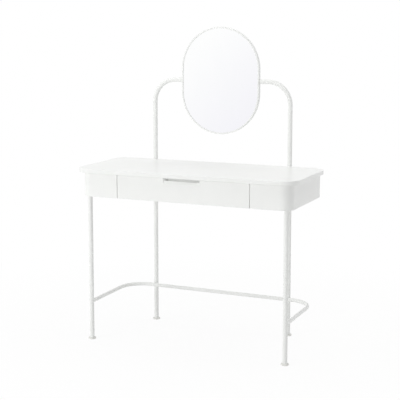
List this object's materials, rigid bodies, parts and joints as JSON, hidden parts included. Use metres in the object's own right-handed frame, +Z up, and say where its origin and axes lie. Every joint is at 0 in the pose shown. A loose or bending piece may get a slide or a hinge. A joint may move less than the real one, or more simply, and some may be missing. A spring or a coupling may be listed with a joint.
{
  "type": "dressing table with mirror",
  "caption": "Slim dressing table on round tube legs with a rounded top, a flush drawer with a scooped finger pull, a curved foot rail and a tilting stadium-shaped mirror between posts.",
  "frame": {"origin": "on the floor, below the middle of the object's outer box", "axes": "+Z up, the drawer's front faces -Y, +X to the right of a person who faces the drawer"},
  "size_m": [1, 0.4584, 1.361],
  "materials": {
    "painted_board": "fibreboard with white satin lacquer",
    "coated_steel": "steel with white powder coat",
    "zinc_steel": "steel with bright zinc plating",
    "drawer_board": "foil-wrapped white fibreboard",
    "white_nylon": "white moulded nylon",
    "mirror_glass": "silvered float glass",
    "hardboard": "white-faced hardboard",
    "beech_dowel": "bare fluted beech"
  },
  "bodies": {
    "frame": {"table_top": "painted_board", "side_panel_left": "painted_board", "side_panel_right": "painted_board", "back_panel": "painted_board", "bottom_panel": "painted_board", "partition_left": "painted_board", "partition_right": "painted_board", "case_dowels": "beech_dowel", "case_screws": "zinc_steel", "top_brackets": "zinc_steel", "bracket_screws": "zinc_steel", "runner_left": "coated_steel", "runner_right": "coated_steel", "runner_screws": "zinc_steel", "front_roller_rivets": "zinc_steel", "front_leg_left": "coated_steel", "front_leg_right": "coated_steel", "rear_leg_left": "coated_steel", "rear_leg_right": "coated_steel", "front_leg_plugs": "white_nylon", "front_leg_studs": "zinc_steel", "panel_inserts": "zinc_steel", "foot_plugs": "white_nylon", "foot_rail": "coated_steel", "foot_rail_spigots": "zinc_steel", "foot_rail_grub_screws": "zinc_steel", "foot_rail_bolts": "zinc_steel", "foot_rail_nuts": "zinc_steel", "post_spigots": "zinc_steel", "post_saddles": "white_nylon", "post_bolts": "zinc_steel", "mirror_post_left": "coated_steel", "mirror_post_right": "coated_steel", "pivot_bushes": "white_nylon"},
    "drawer": {"drawer_front": "painted_board", "drawer_side_left": "drawer_board", "drawer_side_right": "drawer_board", "drawer_back": "drawer_board", "drawer_floor": "hardboard", "drawer_dowels": "beech_dowel", "drawer_screws": "zinc_steel", "drawer_rail_left": "coated_steel", "drawer_rail_right": "coated_steel", "drawer_rail_screws": "zinc_steel", "rear_roller_rivets": "zinc_steel"},
    "mirror": {"mirror_rim": "coated_steel", "mirror_glass": "mirror_glass", "mirror_backing": "hardboard", "mirror_pivot_left": "zinc_steel", "mirror_pivot_right": "zinc_steel", "backing_clips": "zinc_steel"},
    "front_roller_left_body": {"front_roller_left": "white_nylon"},
    "front_roller_right_body": {"front_roller_right": "white_nylon"},
    "rear_roller_left_body": {"rear_roller_left": "white_nylon"},
    "rear_roller_right_body": {"rear_roller_right": "white_nylon"},
    "foot_front_left_body": {"foot_front_left": "white_nylon"},
    "foot_front_right_body": {"foot_front_right": "white_nylon"},
    "foot_rear_left_body": {"foot_rear_left": "white_nylon"},
    "foot_rear_right_body": {"foot_rear_right": "white_nylon"}
  },
  "joints": [
    {"name": "drawer_slide", "type": "slide", "parent": "frame", "child": "drawer", "axis": [0, -1, 0], "range_m": [0, 0.26]},
    {"name": "mirror_tilt", "type": "hinge", "parent": "frame", "child": "mirror", "pos_m": [0, 0.21225, 1.124], "axis": [1, 0, 0], "range_deg": [-45, 45]},
    {"name": "front_roller_left_spin", "type": "hinge", "parent": "frame", "child": "front_roller_left_body", "pos_m": [-0.297, -0.16725, 0.6695], "axis": [1, 0, 0], "range_deg": [0, 1870]},
    {"name": "front_roller_right_spin", "type": "hinge", "parent": "frame", "child": "front_roller_right_body", "pos_m": [0.297, -0.16725, 0.6695], "axis": [1, 0, 0], "range_deg": [0, 1870]},
    {"name": "rear_roller_left_spin", "type": "hinge", "parent": "drawer", "child": "rear_roller_left_body", "pos_m": [-0.2943, 0.13575, 0.6695], "axis": [1, 0, 0], "range_deg": [0, 1870]},
    {"name": "rear_roller_right_spin", "type": "hinge", "parent": "drawer", "child": "rear_roller_right_body", "pos_m": [0.2943, 0.13575, 0.6695], "axis": [1, 0, 0], "range_deg": [0, 1870]},
    {"name": "foot_front_left_screw", "type": "hinge", "parent": "frame", "child": "foot_front_left_body", "pos_m": [-0.44784, -0.17848, 0.02], "axis": [0, 0, 1], "range_deg": [0, 2880]},
    {"name": "foot_front_right_screw", "type": "hinge", "parent": "frame", "child": "foot_front_right_body", "pos_m": [0.44784, -0.17848, 0.02], "axis": [0, 0, 1], "range_deg": [0, 2880]},
    {"name": "foot_rear_left_screw", "type": "hinge", "parent": "frame", "child": "foot_rear_left_body", "pos_m": [-0.325, 0.21225, 0.02], "axis": [0, 0, 1], "range_deg": [0, 2880]},
    {"name": "foot_rear_right_screw", "type": "hinge", "parent": "frame", "child": "foot_rear_right_body", "pos_m": [0.325, 0.21225, 0.02], "axis": [0, 0, 1], "range_deg": [0, 2880]}
  ],
  "couplings": [
    {"joint": "front_roller_left_spin", "follows": "drawer_slide", "rad_per_m": 125},
    {"joint": "front_roller_right_spin", "follows": "drawer_slide", "rad_per_m": 125},
    {"joint": "rear_roller_left_spin", "follows": "drawer_slide", "rad_per_m": 125},
    {"joint": "rear_roller_right_spin", "follows": "drawer_slide", "rad_per_m": 125}
  ]
}
